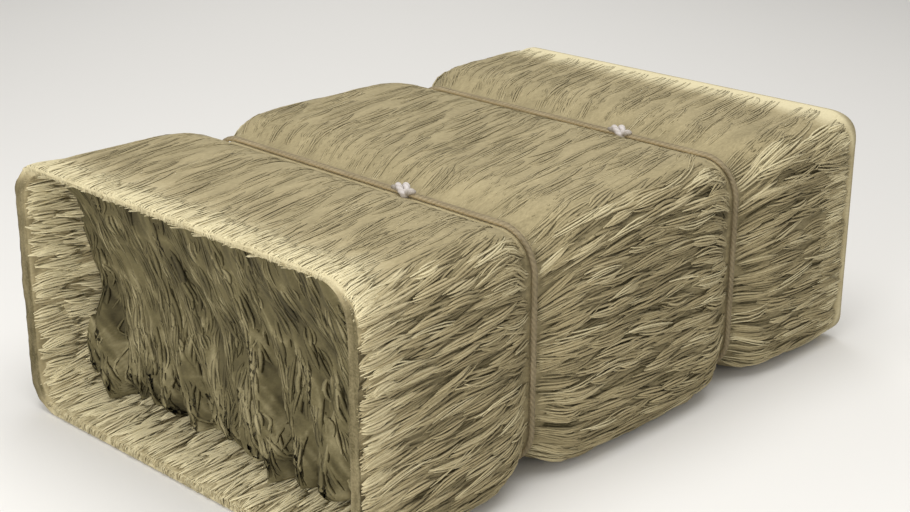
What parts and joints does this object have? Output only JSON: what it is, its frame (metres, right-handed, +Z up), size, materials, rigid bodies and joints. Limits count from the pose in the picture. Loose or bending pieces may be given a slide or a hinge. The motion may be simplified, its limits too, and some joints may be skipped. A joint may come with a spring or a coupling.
{
  "type": "square hay bale",
  "caption": "Pressed square hay bale lying flat, tied round with knotted twines, its hollow end showing darker inner hay.",
  "frame": {"origin": "middle of the bale's footprint, on the ground it lies on", "axes": "+X along the bale's length away from its hollow end, +Y across its width, +Z up"},
  "size_m": [0.883, 0.596, 0.3155],
  "materials": {
    "outer_hay": "matte pale straw",
    "inner_hay": "matte darker, greener hay",
    "twine": "matte brown twine",
    "knot": "matte pale frayed twine"
  },
  "bodies": {
    "root": {"hay_body": "outer_hay", "inner_hay": "inner_hay", "twine_near": "twine", "twine_far": "twine", "knot_near": "knot", "knot_far": "knot"}
  },
  "joints": []
}
